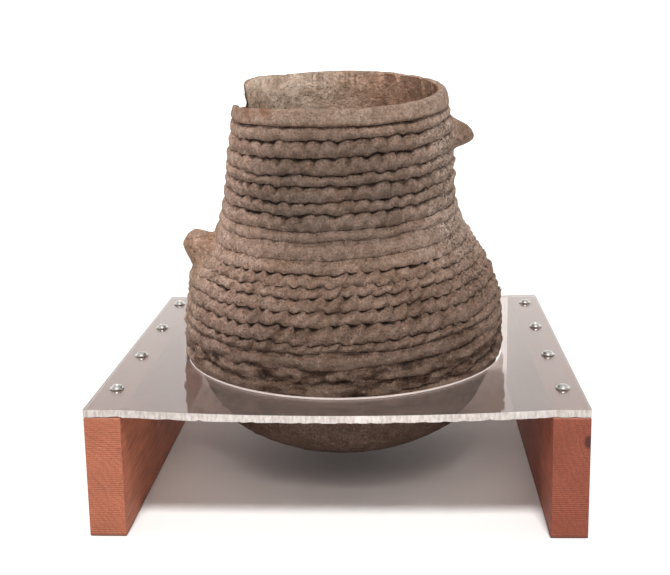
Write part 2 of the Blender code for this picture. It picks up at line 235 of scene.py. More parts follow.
def marks(turn, step):
    """The fingertip marks: 1 on the ridge between two of them and 0 in the middle of one."""
    belly = belly_coils(turn)
    count = lobe_phase(turn) - (0.10 + 0.36 * belly) * step
    number = np.floor(count).astype(int)
    phase = count - number
    rng = np.random.default_rng(11)
    strength = rng.uniform(0.5, 1.25, 5000)[number % 5000]
    peak = np.clip(0.52 + 0.13 * belly + rng.uniform(-0.17, 0.17, 5000)[number % 5000], 0.3, 0.8)
    near = np.where(phase < peak, phase / peak, (1.0 - phase) / (1.0 - peak))
    round_ridge = 1.0 - (1.0 - near) ** 1.45
    sharp_ridge = near ** 1.4
    return np.clip((round_ridge + (sharp_ridge - round_ridge) * belly) * strength, 0.0, 1.15)


def seam_shade(out):
    """0 deep in a seam and 1 on the open skin."""
    return smooth(out, -0.0023, 0.0005)


def ribbon(turn, step):
    """Offsets of the ribbon's skin: out from the wall and up along it, and how deep in the seam it lies,
    which sets its painted shade.
    """
    low = seam(turn)
    width = seam(turn + 1.0) - low
    left = wear(degrees_of(turn), low)
    amount = indented(turn) * left * breathing(turn, 31, 0.033, 0.6, 1.15)
    ridge = marks(turn, step)
    dent = np.clip(1.0 - ridge, 0.0, 1.0)
    belly = belly_coils(turn)
    crest = 0.42 + amount * ((0.40 + 0.10 * belly) * ridge - 0.10)
    crest = np.clip(crest + breathing(turn, 33, 0.013, -0.05, 0.05), 0.14, 0.84)
    below = np.clip(step / crest, 0.0, 1.0)
    above = np.clip((step - crest) / (1.0 - crest), 0.0, 1.0)
    pressed = np.clip(amount, 0.0, 1.0)
    proud = (0.0007 + 0.00035 * pressed) * (0.8 + 0.2 * left) * breathing(turn, 37, 0.027, 0.6, 1.3)
    proud = proud + amount * (0.0020 + 0.0018 * belly) * (ridge - 0.45)
    lip = -0.0006 - 0.0012 * pressed + amount * 0.0004 * dent + breathing(turn, 35, 0.009, -0.00025, 0.00025)
    under = lip + (proud - lip) * np.sin(0.5 * math.pi * below) ** 0.85
    recess = -0.0012 - amount * (0.0021 + 0.0011 * belly) * dent
    over = proud + (recess - proud) * above ** (1.8 - 0.85 * amount * dent)
    out = np.where(step <= crest, under, over)
    droop = np.where(step < 0.2, -0.0004 - 0.0005 * amount * dent, 0.0) * left
    full = np.clip(width / min(COIL_WIDTHS), 0.0, 1.0)
    out = BASE_SKIN * (1.0 - full) + full * out * (0.55 + 0.45 * left)
    # Painted shade: deep dents and seams are darkened, the seam lines in uneven strokes, most on the pressed
    # coils and the ragged lower coils.
    open_seam = np.clip(indented(turn) + smooth(TURNS - turn, 15.6, 16.6), 0.3, 1.0) * (0.4 + 0.6 * left)
    above_it = 1.0 - open_seam * (1.0 - np.clip(breathing(turn, 41, 0.011, 0.05, 1.2), 0.0, 1.0))
    below_it = 1.0 - open_seam * (1.0 - np.clip(breathing(turn, 43, 0.009, 0.20, 1.5), 0.0, 1.0))
    shade = smooth(out, -0.0034, 0.0005) * np.where(step > 0.8, above_it, np.where(step < 0.1, below_it, 1.0))
    return low + width * step, out, droop * full, shade


class Skin:
    """Points of the jar's mesh, gathered in rows: angle, level, out, up and how deep each lies."""

    def __init__(self):
        self.angle = []
        self.level = []
        self.out = []
        self.up = []
        self.relief = []
        self.count = 0
        self.faces = []

    def add(self, angle, level, out, up, relief):
        size = np.broadcast(angle, level, out, up, relief).shape
        for store, values in ((self.angle, angle), (self.level, level), (self.out, out), (self.up, up),
                              (self.relief, relief)):
            store.append(np.broadcast_to(values, size).reshape(-1).astype(float))
        index = np.arange(self.count, self.count + int(np.prod(size))).reshape(size)
        self.count += int(np.prod(size))
        return index

    def quads(self, lower, upper):
        """Faces between two closed rings of the same length."""
        next_lower, next_upper = np.roll(lower, -1), np.roll(upper, -1)
        self.faces += np.stack([lower, next_lower, next_upper, upper], axis=-1).tolist()

    def fan(self, fine, coarse):
        """Faces between a fine ring and one with a whole fraction of its points."""
        ratio = len(fine) // len(coarse)
        for i, point in enumerate(coarse):
            after = coarse[(i + 1) % len(coarse)]
            mid = ratio // 2
            for k in range(ratio):
                a = fine[i * ratio + k]
                b = fine[(i * ratio + k + 1) % len(fine)]
                tip = point if k < mid else after
                self.faces.append([int(a), int(b), int(tip)])
            self.faces.append([int(point), int(fine[i * ratio + mid]), int(after)])


def loose(turn):
    """0 where the coil starts, joins the rim and closes its last round, at the back, and 1 between."""
    joins = smooth(turn, 1.0, 1.3) * (1.0 - smooth(turn, TURNS + 0.88, TURNS + 1.0))
    return joins * (smooth(turn, TURNS, TURNS + 0.12) + 1.0 - smooth(turn, TURNS - 0.14, TURNS - 0.01))


def seam_depth(turn):
    """How far each seam lies inside the wall's skin."""
    worn = wear(degrees_of(turn), seam(turn))
    coil = TURNS - turn
    plain = smooth(coil, 6.8, 7.4) * (1.0 - smooth(coil, 10.0, 10.6))
    ragged = smooth(coil, 15.6, 16.6)
    depth = 0.0022 * breathing(turn, 21, 0.019, 0.45, 1.3) * breathing(turn, 22, 0.006, 0.75, 1.2)
    depth = depth * (1.0 - ragged * breathing(turn, 23, 0.031, -0.35, 0.95))
    depth = depth * (0.30 + 0.70 * worn) * (1.0 - 0.5 * plain)
    pressed = indented(turn - 1.0) * worn
    depth = depth + 0.0011 * pressed * np.clip(1.0 - marks(turn - 1.0, 1.0), 0.0, 1.0)
    return (depth + BASE_SKIN) * loose(turn) - BASE_SKIN


def seam_wave(turn):
    """Small rises and dips of each seam line."""
    rng = np.random.default_rng(3)
    places = np.arange(-1.0, TURNS + 3.0, 0.021)
    slow = np.interp(turn, places, rng.normal(0.0, 0.00048, len(places)))
    places = np.arange(-1.0, TURNS + 3.0, 0.0052)
    quick = np.interp(turn, places, rng.normal(0.0, 0.00017, len(places)))
    lobes = indented(turn - 1.0) * wear(degrees_of(turn), seam(turn)) * (marks(turn - 1.0, 1.0) - 0.5)
    ragged = smooth(TURNS - turn, 15.4, 16.6)
    height = 0.0006 + 0.0005 * belly_coils(turn - 1.0)
    return (slow * (1.0 + 0.9 * ragged) + quick + height * lobes) * loose(turn)


RIM_PROFILE = (
    # share of the band's height, place out from the wall, and shade
    (0.03, -0.0003, 0.3), (0.10, 0.0006, 0.8), (0.25, 0.0009, 1.0), (0.45, 0.0006, 1.0), (0.65, 0.0003, 1.0),
    (0.80, 0.0002, 1.0), (0.90, 0.0001, 1.0), (0.965, -0.0004, 1.0), (0.993, -0.0011, 1.0),
    (1.0, -0.0021, 1.0), (0.988, -0.0031, 1.0), (0.95, -0.0039, 1.0),
)
RIM_CLEARANCE = 0.985


def build_skin():
    skin = Skin()
    # Wound coils
    count = COLUMNS * TURNS
    seam_turns = np.arange(count + COLUMNS + 1) / COLUMNS
    out = -seam_depth(seam_turns)
    height = seam(seam_turns)
    level = levels(angle_of(seam_turns), height) + seam_wave(seam_turns)
    seams = skin.add(angle_of(seam_turns), level, out, 0.0, seam_shade(out))
    inner_turns = np.arange(COLUMNS * TURNS + 1) / COLUMNS
    rows = []
    for step in COIL_STEPS:
        steps = np.full_like(inner_turns, step)
        height, out, up, relief = ribbon(inner_turns, steps)
        level = levels(angle_of(inner_turns), height)
        level = level + seam_wave(inner_turns) * (1.0 - step) + seam_wave(inner_turns + 1.0) * step
        rows.append(skin.add(angle_of(inner_turns), level, out, up, relief))
    rows = [seams[:count + 1], *rows, seams[COLUMNS:]]
    for lower, upper in zip(rows, rows[1:]):
        skin.faces += np.stack([lower[:-1], lower[1:], upper[1:], upper[:-1]], axis=-1).tolist()
    # Round base, with fewer points
    foot = COLUMNS // 4
    angle = angle_of(np.arange(foot) / foot)
    rings = []
    lowest = float(seam(0.0))
    for share in (np.linspace(0.0, 1.0, 23)[:-1] ** 1.35):
        tuck = BASE_SKIN * share ** 6
        rings.append(skin.add(angle, levels(angle, lowest * share + 0 * angle), tuck, 0.0, 0.8))
    for a, b in zip(rings, rings[1:]):
        skin.quads(a, b)
    skin.fan(seams[:COLUMNS], rings[-1])
    previous = rings[0]
    for shrink in (0.7, 0.35):
        inward = BASE_RADIUS * (1.0 - shrink)
        ring = skin.add(angle, levels(angle, 0 * angle), -inward, -0.0004 * (1 - shrink), 0.8)
        skin.quads(ring, previous)
        previous = ring
    middle = skin.add(np.zeros(1), np.zeros(1), -BASE_RADIUS, -0.0006, 0.8)
    skin.faces += [[int(a), int(middle[0]), int(b)] for a, b in zip(previous, np.roll(previous, -1))]
    # Rim band and lip
    angle = angle_of(np.arange(COLUMNS) / COLUMNS)
    previous = seams[count:-1]
    for share, out, relief in RIM_PROFILE:
        height = RIM_SEAM + RIM_BAND * RIM_CLEARANCE * share + 0 * angle
        ring = skin.add(angle, levels(angle, height), out, 0.0, relief)
        skin.quads(previous, ring)
        previous = ring
    # Inner wall, with fewer points
    inner = COLUMNS // 3
    angle = angle_of(np.arange(inner) / inner)
    rings = []
    for share in np.linspace(0.955, 0.0, 38):
        height = JAR_HEIGHT * share ** 1.15 + 0 * angle
        level = levels(angle, height)
        slope = (outline(level + 0.0002) - outline(level)) / 0.0002
        inward = 1.0 / np.hypot(1.0, slope)
        wall = WALL - LIP_THINNING * smooth(height, 0.80 * JAR_HEIGHT, 0.95 * JAR_HEIGHT)
        rings.append(skin.add(angle, level, -wall * inward, np.clip(wall * slope * inward, -WALL, WALL), 0.9))
    skin.fan(previous, rings[0])
    for a, b in zip(rings, rings[1:]):
        skin.quads(a, b)
    previous = rings[-1]
    floor = skin.add(np.zeros(1), np.zeros(1), -BASE_RADIUS, WALL, 0.9)
    skin.faces += [[int(a), int(floor[0]), int(b)] for a, b in zip(previous, np.roll(previous, -1))]
    return skin


LUGS = (
    # angle, level, reach, lift, spread on the wall, and the share of the reach from tip to root
    (math.radians(190), 0.1279, 0.0135, 0.96, 0.0119, (1.0, 1.0, 0.96, 0.86, 0.62, 0.25, 0.0)),
    (math.radians(2), 0.1895, 0.0118, -0.12, 0.0100, (1.0, 0.99, 0.92, 0.76, 0.48, 0.16, 0.0)),
)


def lug_root(angle, height):
    return Vector(on_jar(angle, float(levels(angle, height)), 0.0, 0.0))


def pull_lug(bm, lug):
    """Draws the outer skin out into a broken lug."""
    angle, height, reach, lift, spread, shares = lug
    root = lug_root(angle, height)
    aim = Vector((math.cos(angle), math.sin(angle), lift)).normalized()
    within = bm.verts.layers.float["inside"]
    near = {v for v in bm.verts if (v.co - root).length < spread and v[within] < 0.5}
    edges = [e for e in bm.edges if e.verts[0] in near and e.verts[1] in near]
    bmesh.ops.subdivide_edges(bm, edges=edges, cuts=1, use_grid_fill=True)
    places = np.linspace(0.0, 1.0, len(shares))
    for v in bm.verts:
        away = (v.co - root).length / spread
        if away < 1.0 and v[within] < 0.5:
            lump = 1.0 + 0.12 * noise.noise(v.co * 170.0) + 0.05 * noise.noise(v.co * 420.0)
            v.co += aim * float(np.interp(away, places, shares)) * reach * lump


def pits(angle, level):
    """How pitted and spalled the skin is: a band up the right side, and a few patches."""
    degrees = np.degrees(angle) % 360.0
    band = np.exp(-(((degrees - WORN_SIDE) / 15.0) ** 2))
    band = band * smooth(level, 0.085, 0.115) * (1.0 - smooth(level, 0.196, 0.206))
    left = 0.35 * np.exp(-(((degrees - 213.0) / 14.0) ** 2)) * (1.0 - smooth(level, 0.19, 0.205))
    return np.clip(band + left, 0.0, 1.0)


def near_lugs(points):
    """1 where a lug's root has smoothed the coils away."""
    share = np.zeros(len(points))
    for angle, height, _, _, spread, _ in LUGS:
        root = np.array(lug_root(angle, height))
        away = np.linalg.norm(points - root, axis=1)
        share = np.maximum(share, 1.0 - smooth(away, spread * 0.85, spread * 1.7))
    return share


BREAK = (
    # how far behind the axis, and the height the wall is left standing to
    (0.0240, 0.30), (0.0231, 0.2172), (0.0194, 0.2150), (0.0186, 0.1995), (0.0174, 0.1990),
    (0.0110, 0.2000), (0.0050, 0.1985), (-0.0010, 0.2000), (-0.0060, 0.2015), (-0.0085, 0.2045),
    (-0.0103, 0.2090), (-0.0098, 0.2110), (-0.0120, 0.30),
)
BREAK_LEAN = (
    # height, and the turn of the wall left standing behind the gap
    (0.1900, 0.0), (0.1960, 0.138), (0.1995, 0.140), (0.2148, 0.0),
)
BREAK_SLANT = 0.0105


def break_rim(points, out):
    """Cuts the lost piece out of the rim: the wall there stands only to the break's line.

    The wall left standing behind it is turned back at its foot, so that its edge overhangs the gap, and the
    corner in front of the gap has lost its inner edge.
    """
    behind, top = np.array(sorted(BREAK)).T
    slant = BREAK_SLANT * np.clip(-out / WALL, 0.0, 1.0) * smooth(points[:, 1], 0.001, 0.008)
    y = points[:, 1] + slant + 0.0003 * rough(points * (1, 0, 1), 0.0016, 2, 4.0)
    limit = np.interp(y, behind, top) + 0.0005 * rough(points, 0.0014, 3, 9.0)
    cut = (points[:, 0] < -0.03) & (points[:, 2] > limit)
    points[cut, 2] = limit[cut]
    held = smooth(y, -0.0040, 0.0172)
    x, y, z = points.T
    lean = np.interp(z, *np.array(BREAK_LEAN).T) * held * (1.0 - smooth(y, 0.030, 0.055)) * (x < -0.02)
    points[:, 0], points[:, 1] = x * np.cos(lean) + y * np.sin(lean), y * np.cos(lean) - x * np.sin(lean)
    chip = np.exp(-(((y + 0.0150) / 0.0085) ** 2)) * (x < -0.03) * smooth(z, 0.205, 0.213)
    chip = chip * np.clip((-out - 0.0007) / 0.0025, 0.0, 1.0)
    points[:, 2] -= 0.0042 * chip
    return cut | (chip > 0.15)


def weathered(skin):
    """The jar's points with their grit, gouges and chips, what each point's clay is like, and how deep in
    painted shade it lies.
    """
    angle, level, out, up, relief = (
        np.concatenate(rows) for rows in (skin.angle, skin.level, skin.out, skin.up, skin.relief))
    base = on_jar(angle, level, 0.0, 0.0)
    lugs = near_lugs(base)
    outside = out > -0.0030
    out = np.where(outside, out * (1.0 - lugs) + 0.0002 * lugs, out)
    up = up * (1.0 - lugs)
    relief = relief + (0.85 - relief) * lugs
    grit = 0.00034 * rough(base, 0.0042, 3, 1.0) + 0.00016 * rough(base, 0.0014, 2, 2.0)
    lumps = 0.0006 * rough(base, 0.019, 2, 3.0)
    pitted = pits(angle, level)
    low = 1.0 - smooth(level, 0.078, 0.092)
    gouges = 0.0024 * rough(base * (1.0, 1.0, 3.2), 0.016, 3, 6.0) * low * smooth(level, 0.060, 0.068)
    # Painted shade: the gouges are darkened through their shade value.
    relief = np.where(outside, relief * (0.22 + 0.78 * smooth(gouges, -0.0013, -0.0003)), relief)
    degrees = np.degrees(angle) % 360.0
    real = JAR_PLACE.z + base[:, 1] * math.sin(JAR_LEAN) + base[:, 2] * math.cos(JAR_LEAN)
    sides = np.abs(np.cos(angle)) ** 6
    rests = 0.0013 * sides * smooth(real, 0.0671, 0.0679) * (1.0 - smooth(real, 0.070, 0.078))
    fill = 0.0030 * np.exp(-(((degrees - 191.0) / 15.0) ** 2) - ((level - 0.1140) / 0.0100) ** 2)
    up = up - 0.0007 * np.clip(rough(base, 0.007, 3, 12.0), 0.0, 1.0) * smooth(level, 0.203, 0.213)
    up = up + 0.0018 * bump(angle, math.radians(158), 0.20) * smooth(level, 0.196, 0.216)
    out = out + grit * (1.0 + 0.9 * pitted + 0.9 * low)
    out = out + np.where(outside, lumps + gouges + rests + fill, 0.0)
    out = out - 0.0012 * bump(angle, math.radians(192), 0.40) * smooth(level, 0.190, 0.204) * outside
    points = on_jar(angle, level, out, up)
    broken = break_rim(points, out)
    inside = (out < -0.0036) & (level > 0.003)
    return points, {"relief": relief, "broken": broken, "inside": inside, "lug": lugs, "pitted": pitted}


def make_jar():
    skin = build_skin()
    points, layers = weathered(skin)
    mesh = bpy.data.meshes.new("jar_skin")
    mesh.from_pydata(points.tolist(), [], skin.faces)
    for name, values in layers.items():
        layer = mesh.attributes.new(name, "FLOAT", "POINT")
        layer.data.foreach_set("value", values.astype(np.float32))
    bm = bmesh.new()
    bm.from_mesh(mesh)
    bmesh.ops.remove_doubles(bm, verts=bm.verts, dist=1e-6)
    for lug in LUGS:
        pull_lug(bm, lug)
    placed = Matrix.Translation(JAR_PLACE) @ Matrix.Rotation(JAR_LEAN, 4, "X")
    bmesh.ops.transform(bm, matrix=placed, verts=bm.verts)
    bmesh.ops.recalc_face_normals(bm, faces=bm.faces)
    bm.to_mesh(mesh)
    bm.free()
    mesh.shade_smooth()
    mesh.set_sharp_from_angle(angle=math.radians(70))
    jar = bpy.data.objects.new("jar_clay", mesh)
    bpy.context.scene.collection.objects.link(jar)
    return jar


# Materials

class Nodes:
    """A short way to write a material's nodes."""

    def __init__(self, name):
        self.made = bpy.data.materials.new(name)
        self.made.use_nodes = True
        self.tree = self.made.node_tree
        self.shader = self.tree.nodes["Principled BSDF"]

    def node(self, kind, inputs=(), **settings):
        made = self.tree.nodes.new(kind)
        for key, value in settings.items():
            setattr(made, key, value)
        for key, value in dict(inputs).items():
            self.give(made.inputs[key], value)
        return made

    def give(self, socket, value):
        if isinstance(value, bpy.types.NodeSocket):
            self.tree.links.new(value, socket)
        elif isinstance(value, tuple) and len(value) == 3 and socket.type == "RGBA":
            socket.default_value = (*value, 1.0)
        else:
            socket.default_value = value

    def set(self, **values):
        for key, value in values.items():
            self.give(self.shader.inputs[key.replace("_", " ")], value)

    def where(self):
        return self.node("ShaderNodeTexCoord").outputs["Object"]

    def stretched(self, scale, at=(0.0, 0.0, 0.0)):
        inputs = {"Vector": self.where(), "Scale": scale, "Location": at}
        return self.node("ShaderNodeMapping", inputs).outputs[0]

    def noise(self, scale, detail=3.0, roughness=0.55, distortion=0.0, vector=None):
        inputs = {"Scale": scale, "Detail": detail, "Roughness": roughness, "Distortion": distortion,
                  "Vector": vector or self.where()}
        return self.node("ShaderNodeTexNoise", inputs).outputs["Fac"]

    def ramp(self, value, low, high, start=0.0, end=1.0, smooth=True):
        inputs = {"Value": value, "From Min": low, "From Max": high, "To Min": start, "To Max": end}
        kind = "SMOOTHSTEP" if smooth else "LINEAR"
        return self.node("ShaderNodeMapRange", inputs, interpolation_type=kind).outputs[0]

    def math(self, operation, a, b=0.0):
        made = self.node("ShaderNodeMath", operation=operation)
        self.give(made.inputs[0], a)
        self.give(made.inputs[1], b)
        return made.outputs[0]

    def mix(self, share, a, b, how="MIX"):
        made = self.node("ShaderNodeMix", data_type="RGBA", blend_type=how)
        self.give(made.inputs[0], share)
        self.give(made.inputs[6], a)
        self.give(made.inputs[7], b)
        return made.outputs[2]

    def near(self, centre, size):
        """1 at a place on the object, fading to 0 at its size in each direction."""
        scale = tuple(1.0 / side for side in size)
        at = tuple(-c * k for c, k in zip(centre, scale))
        inputs = {"Vector": self.stretched(scale, at)}
        gradient = self.node("ShaderNodeTexGradient", inputs, gradient_type="SPHERICAL")
        return self.ramp(gradient.outputs["Fac"], 0.0, 0.55)

    def attribute(self, name):
        return self.node("ShaderNodeAttribute", attribute_name=name).outputs["Fac"]

    def axis(self, letter):
        return self.node("ShaderNodeSeparateXYZ", {"Vector": self.where()}).outputs[letter]

    def scaled(self, tone, value, low, high, dark, pale):
        """The tone made darker where the value is low and paler where it is high, or the other way round."""
        return self.mix(1.0, tone, self.mix(self.ramp(value, low, high), dark, pale), "MULTIPLY")

    def bump(self, height, distance, under=None):
        inputs = {"Height": height, "Distance": distance, "Strength": 1.0}
        if under is not None:
            inputs["Normal"] = under
        return self.node("ShaderNodeBump", inputs).outputs[0]


def clay():
    m = Nodes("fired clay")
    x, z = m.axis("X"), m.axis("Z")
    clouds = m.ramp(m.noise(24.0, 3.0, 0.6), 0.35, 0.66)
    tone = m.mix(clouds, (0.285, 0.187, 0.140), (0.212, 0.137, 0.102))
    # Both sides are painted paler than the front, the right of the upper jar most: partly paler clay, partly
    # painted light on the sides.
    tone = m.mix(m.ramp(x, -0.020, -0.066, 0.0, 0.9), tone, (0.510, 0.345, 0.275))
    upper = m.math("MULTIPLY", m.ramp(x, 0.034, 0.062), m.ramp(z, 0.115, 0.15))
    tone = m.mix(m.math("MULTIPLY", upper, 0.85), tone, (0.450, 0.340, 0.278))
    # Painted light: the rim band is painted paler, as if lit from above.
    tone = m.mix(m.ramp(z, 0.198, 0.212, 0.0, 0.8), tone, (0.365, 0.255, 0.195))
    soot = m.near((-0.002, -0.062, 0.168), (0.062, 0.070, 0.050))
    soot = m.math("MULTIPLY", soot, m.ramp(m.noise(55.0, 3.0, 0.6), 0.25, 0.6, 0.4, 1.0))
    tone = m.mix(soot, tone, (0.165, 0.112, 0.088))
    # Painted shade: the lower belly is darkened, as shade from the light above.
    low = m.math("MULTIPLY", m.ramp(z, 0.135, 0.078, 0.0, 0.85), m.ramp(x, -0.085, -0.04, 0.35, 1.0))
    low = m.math("MULTIPLY", low, m.ramp(x, 0.050, 0.085, 1.0, 0.45))
    tone = m.mix(low, tone, (0.130, 0.081, 0.060))
    side = m.near((-0.088, -0.020, 0.104), (0.030, 0.040, 0.045))
    tone = m.mix(m.math("MULTIPLY", side, 0.75), tone, (0.410, 0.285, 0.215))
    orange = m.near((-0.048, -0.045, 0.214), (0.042, 0.050, 0.014))
    orange = m.math("MULTIPLY", orange, m.ramp(m.noise(110.0), 0.38, 0.62))
    tone = m.mix(orange, tone, (0.300, 0.140, 0.075))
    stub = m.math("MULTIPLY", m.attribute("lug"), m.ramp(m.noise(130.0, 3.0, 0.6), 0.35, 0.6, 0.15, 0.7))
    tone = m.mix(stub, tone, m.mix(m.ramp(x, -0.05, 0.05), (0.420, 0.262, 0.178), (0.250, 0.155, 0.108)))
    inside = m.attribute("inside")
    within = m.mix(m.ramp(x, -0.028, 0.030), (0.860, 0.670, 0.535), (0.590, 0.350, 0.245))
    within = m.mix(m.ramp(m.noise(150.0, 3.0), 0.4, 0.7, 0.0, 0.18), within, (0.22, 0.145, 0.105))
    tone = m.mix(inside, tone, within)
    # Painted shade: the jar's foot below the sheet's level is darkened, where the sheet shades it.
    tone = m.mix(m.ramp(z, 0.067, 0.052, 0.0, 0.85), tone, (0.120, 0.076, 0.055))
    grains = m.noise(900.0, 3.0, 0.7)
    speckle = m.mix(m.ramp(grains, 0.34, 0.66, smooth=False), (0.66, 0.640, 0.620), (1.30, 1.31, 1.32))
    tone = m.mix(m.ramp(inside, 0.0, 1.0, 1.0, 0.55), tone, speckle, "MULTIPLY")
    tone = m.scaled(tone, m.noise(260.0, 2.0, 0.6), 0.35, 0.65, (0.80, 0.79, 0.77), (1.17, 1.17, 1.17))
    tone = m.scaled(tone, m.noise(85.0, 3.0, 0.6), 0.36, 0.62, (0.86, 0.82, 0.78), (1.13, 1.15, 1.17))
    temper = m.node("ShaderNodeTexVoronoi", {"Vector": m.where(), "Scale": 520.0}, feature="F1")
    cells = m.node("ShaderNodeSeparateColor", {"Color": temper.outputs["Color"]}).outputs[0]
    grain = m.ramp(temper.outputs["Distance"], 0.42, 0.24)
    bits = m.math("MULTIPLY", grain, m.ramp(cells, 0.80, 0.84))
    tone = m.mix(m.math("MULTIPLY", bits, 0.6), tone, (0.050, 0.034, 0.027))
    pale = m.math("MULTIPLY", grain, m.ramp(cells, 0.16, 0.12))
    tone = m.mix(m.math("MULTIPLY", pale, 0.22), tone, (0.52, 0.42, 0.35))
    hollows = m.math("MULTIPLY", m.attribute("pitted"), m.ramp(m.noise(640.0, 3.0, 0.6), 0.52, 0.64))
    tone = m.mix(m.math("MULTIPLY", hollows, 0.8), tone, (0.055, 0.036, 0.028))
    # Painted shade: seams, dents and gouges are darkened almost to black by the shade value, and the open
    # skin is painted a little paler.
    relief = m.attribute("relief")
    tone = m.mix(m.ramp(relief, 0.50, 0.04, 0.0, 0.94), tone, (0.026, 0.016, 0.012))
    tone = m.mix(m.ramp(relief, 0.80, 1.0, 0.0, 0.14), tone, (0.46, 0.35, 0.28))
    broken = m.attribute("broken")
    tone = m.mix(m.math("MULTIPLY", broken, 0.6), tone, (0.20, 0.105, 0.065))
    fine = m.bump(grains, 0.0013)
    grit = m.bump(m.noise(400.0, 4.0, 0.7), 0.0022, fine)
    hollow = m.bump(m.math("MULTIPLY", hollows, -1.0), 0.0009, grit)
    m.set(Base_Color=tone, Roughness=0.93, Normal=hollow)
    m.shader.inputs["Specular IOR Level"].default_value = 0.2
    return m.made


def wood(name, pale, dark, pith):
    """Plain-sawn wood: rings round a pith that runs along the board, so the ends show arcs."""
    m = Nodes(name)
    place = m.stretched((1.0, 0.06, 1.0), (-pith[0], 0.0, -pith[1]))
    parts = m.node("ShaderNodeSeparateXYZ", {"Vector": place}).outputs
    squares = [m.math("MULTIPLY", parts[letter], parts[letter]) for letter in "XZ"]
    ring = m.math("SQRT", m.math("ADD", *squares))
    waver = m.math("MULTIPLY", m.noise(36.0, 4.0, 0.6, 0.0, m.stretched((1.0, 0.25, 1.0))), 0.022)
    years = m.math("FRACT", m.math("MULTIPLY", m.math("ADD", ring, waver), 330.0))
    late = m.ramp(years, 0.35, 0.92)
    tone = m.mix(m.math("MULTIPLY", late, 0.34), pale, dark)
    fibres = m.noise(1300.0, 3.0, 0.65, 0.0, m.stretched((1.0, 0.03, 1.0)))
    tone = m.scaled(tone, fibres, 0.32, 0.70, (1.16, 1.15, 1.14), (0.72, 0.70, 0.68))
    tone = m.scaled(tone, m.noise(38.0, 3.0), 0.3, 0.7, (0.88, 0.86, 0.84), (1.12, 1.10, 1.08))
    end = SHEET_DEPTH / 2
    far = m.ramp(m.axis("Y"), end - 0.0004, end - 0.0002)
    near = m.ramp(m.axis("Y"), 0.0002 - end, 0.0004 - end, 1.0, 0.0)
    waves = {"Vector": m.where(), "Scale": 300.0, "Distortion": 1.4, "Detail": 2.0, "Detail Scale": 0.3}
    saw = m.node("ShaderNodeTexWave", waves, wave_type="BANDS", bands_direction="Z").outputs["Fac"]
    cut = m.math("MULTIPLY", m.math("MAXIMUM", far, near), saw)
    tone = m.mix(m.math("MULTIPLY", cut, 0.16), tone, dark)
    top = m.ramp(m.axis("Z"), BOARD_HEIGHT - 0.0006, BOARD_HEIGHT - 0.0001)
    tone = m.mix(m.math("MULTIPLY", top, 0.80), tone, (0.64, 0.295, 0.200))
    knot = m.near((0.1262, -0.127, 0.0510), (0.0036, 0.010, 0.0046))
    tone = m.mix(m.math("MULTIPLY", knot, 0.85), tone, (0.05, 0.014, 0.010))
    tone = m.mix(m.ramp(m.axis("Z"), 0.0016, 0.0, 0.0, 0.7), tone, (0.05, 0.02, 0.015))
    grooves = m.bump(cut, 0.00025)
    lines = m.bump(m.math("MULTIPLY", fibres, -1.0), 0.00022, grooves)
    dull = m.ramp(years, 0.0, 1.0, 0.74, 0.62)
    m.set(Base_Color=tone, Roughness=dull, Normal=m.bump(years, -0.00010, lines))
    m.shader.inputs["Specular IOR Level"].default_value = 0.28
    return m.made


def clear_plastic():
    m = Nodes("clear acrylic")
    m.set(Base_Color=(0.550, 0.460, 0.425), Roughness=0.025, IOR=1.45)
    m.shader.inputs["Transmission Weight"].default_value = 0.88
    return m.made


def sawn_plastic():
    m = Nodes("sawn acrylic edge")
    flakes = m.noise(700.0, 3.0, 0.65, 0.0, m.stretched((1.0, 1.0, 0.35)))
    tone = m.mix(m.ramp(flakes, 0.30, 0.70), (0.74, 0.68, 0.65), (0.46, 0.40, 0.37))
    blots = m.noise(60.0, 3.0, 0.6)
    tone = m.mix(m.ramp(blots, 0.52, 0.72, 0.0, 0.6), tone, (0.92, 0.88, 0.86))
    m.set(Base_Color=tone, Roughness=0.42, IOR=1.49, Normal=m.bump(flakes, 0.0006))
    m.shader.inputs["Transmission Weight"].default_value = 0.2
    return m.made


def glowing_rim():
    m = Nodes("glowing acrylic rim")
    # Painted light: the hole's wall is given a near-white colour and an emission glow, standing in for its
    # bright edge highlight.
    glints = m.noise(240.0, 2.0, 0.5)
    tone = m.mix(m.ramp(glints, 0.3, 0.7), (0.97, 0.96, 0.95), (0.86, 0.84, 0.83))
    m.set(Base_Color=tone, Roughness=0.3, IOR=1.49)
    m.shader.inputs["Emission Color"].default_value = (1.0, 0.97, 0.95, 1.0)
    m.shader.inputs["Emission Strength"].default_value = 0.75
    return m.made


def steel():
    m = Nodes("bright steel")
    scuffs = m.noise(1400.0, 2.0, 0.6)
    tone = m.mix(m.ramp(scuffs, 0.4, 0.7), (0.72, 0.71, 0.68), (0.50, 0.49, 0.47))
    m.set(Base_Color=tone, Roughness=m.ramp(scuffs, 0.3, 0.7, 0.30, 0.45), Metallic=1.0)
    return m.made


def pale_floor():
    m = Nodes("pale floor")
    m.set(Base_Color=(0.86, 0.86, 0.86), Roughness=0.9)
    return m.made


# Stand

def sheet_drop(x):
    half_gap = SHEET_WIDTH / 2 - BOARD_THICKNESS
    return SHEET_SAG * max(0.0, 1.0 - (x / half_gap) ** 2)


def border_distance(angle):
    """From the hole's centre to the sheet's border, in this direction."""
    reach = []
    for side, centre, half in ((math.cos(angle), HOLE_CENTRE[0], SHEET_WIDTH / 2),
                               (math.sin(angle), HOLE_CENTRE[1], SHEET_DEPTH / 2)):
        if abs(side) > 1e-9:
            reach.append((math.copysign(half, side) - centre) / side)
    return min(reach)


